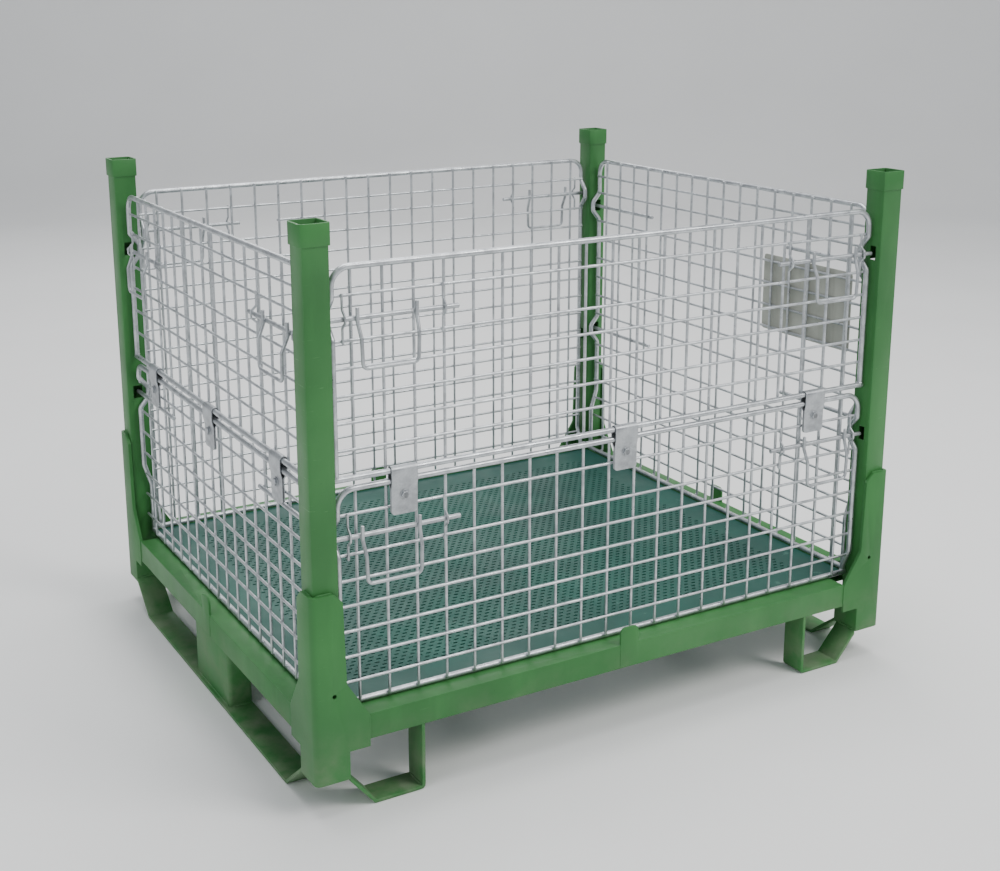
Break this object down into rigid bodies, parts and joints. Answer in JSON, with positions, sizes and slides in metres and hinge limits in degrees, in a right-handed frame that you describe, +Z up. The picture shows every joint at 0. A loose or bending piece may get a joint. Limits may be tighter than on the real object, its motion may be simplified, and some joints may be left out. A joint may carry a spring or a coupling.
{
  "type": "wire mesh container",
  "caption": "Stackable wire mesh container: green steel base with corner posts, two fold-down half sides, a lift-out front and back held by sliding bolts, and a fixed right side.",
  "frame": {"origin": "centre of the footprint, on the ground", "axes": "+X along the long side to the right, +Y to the back, +Z up; the front is -Y"},
  "size_m": [1.2, 1, 0.95],
  "materials": {
    "green_paint": "semi-gloss green paint on welded steel",
    "floor_paint": "darker blue-green paint on perforated sheet",
    "galvanised_wire": "bright zinc-plated wire",
    "label_plate": "plain satin grey-beige plate"
  },
  "bodies": {
    "base": {"corner_sleeve_front_left": "green_paint", "corner_sleeve_front_right": "green_paint", "corner_sleeve_back_left": "green_paint", "corner_sleeve_back_right": "green_paint", "post_front_left": "green_paint", "post_front_right": "green_paint", "post_back_left": "green_paint", "post_back_right": "green_paint", "rail_front": "green_paint", "rail_back": "green_paint", "rail_left": "green_paint", "rail_right": "green_paint", "floor_sheet": "floor_paint", "floor_bearer_left": "green_paint", "floor_bearer_right": "green_paint", "runner_left": "green_paint", "runner_right": "green_paint", "runner_block_left": "green_paint", "runner_block_right": "green_paint", "foot_loop_front_left": "green_paint", "foot_loop_front_right": "green_paint", "foot_loop_back_left": "green_paint", "foot_loop_back_right": "green_paint", "lower_panel_left": "galvanised_wire", "hinge_clip_left_left": "galvanised_wire", "hinge_clip_left_middle": "galvanised_wire", "hinge_clip_left_right": "galvanised_wire", "full_panel_right": "galvanised_wire", "label_plate": "label_plate"},
    "lower_front": {"lower_panel_front": "galvanised_wire", "hinge_clip_front_left": "galvanised_wire", "hinge_clip_front_middle": "galvanised_wire", "hinge_clip_front_right": "galvanised_wire"},
    "upper_front": {"upper_panel_front": "galvanised_wire"},
    "upper_left": {"upper_panel_left": "galvanised_wire"},
    "back": {"full_panel_back": "galvanised_wire"},
    "bolt_lower_front_left": {"lower_bolt_front_left": "galvanised_wire"},
    "bolt_lower_front_right": {"lower_bolt_front_right": "galvanised_wire"},
    "bolt_upper_front_left": {"upper_bolt_front_left": "galvanised_wire"},
    "bolt_upper_front_right": {"upper_bolt_front_right": "galvanised_wire"},
    "bolt_upper_left_left": {"upper_bolt_left_left": "galvanised_wire"},
    "bolt_upper_left_right": {"upper_bolt_left_right": "galvanised_wire"},
    "bolt_back_left": {"full_bolt_back_left": "galvanised_wire"},
    "bolt_back_right": {"full_bolt_back_right": "galvanised_wire"}
  },
  "joints": [
    {"name": "lower_front_lift", "type": "slide", "parent": "base", "child": "lower_front", "axis": [0, 0, 1], "range_m": [0, 0.8]},
    {"name": "back_lift", "type": "slide", "parent": "base", "child": "back", "axis": [0, 0, 1], "range_m": [0, 0.8]},
    {"name": "upper_front_hinge", "type": "hinge", "parent": "lower_front", "child": "upper_front", "pos_m": [0, -0.4705, 0.548], "axis": [1, 0, 0], "range_deg": [0, 160]},
    {"name": "upper_left_hinge", "type": "hinge", "parent": "base", "child": "upper_left", "pos_m": [-0.5705, 0, 0.548], "axis": [0, -1, 0], "range_deg": [0, 160]},
    {"name": "bolt_lower_front_left_slide", "type": "slide", "parent": "lower_front", "child": "bolt_lower_front_left", "axis": [1, 0, 0], "range_m": [-0.015, 0.042]},
    {"name": "bolt_lower_front_right_slide", "type": "slide", "parent": "lower_front", "child": "bolt_lower_front_right", "axis": [-1, 0, 0], "range_m": [-0.015, 0.042]},
    {"name": "bolt_upper_front_left_slide", "type": "slide", "parent": "upper_front", "child": "bolt_upper_front_left", "axis": [1, 0, 0], "range_m": [-0.015, 0.042]},
    {"name": "bolt_upper_front_right_slide", "type": "slide", "parent": "upper_front", "child": "bolt_upper_front_right", "axis": [-1, 0, 0], "range_m": [-0.015, 0.042]},
    {"name": "bolt_upper_left_left_slide", "type": "slide", "parent": "upper_left", "child": "bolt_upper_left_left", "axis": [0, -1, 0], "range_m": [-0.015, 0.042]},
    {"name": "bolt_upper_left_right_slide", "type": "slide", "parent": "upper_left", "child": "bolt_upper_left_right", "axis": [0, 1, 0], "range_m": [-0.015, 0.042]},
    {"name": "bolt_back_left_slide", "type": "slide", "parent": "back", "child": "bolt_back_left", "axis": [-1, 0, 0], "range_m": [-0.015, 0.042]},
    {"name": "bolt_back_right_slide", "type": "slide", "parent": "back", "child": "bolt_back_right", "axis": [1, 0, 0], "range_m": [-0.015, 0.042]}
  ]
}
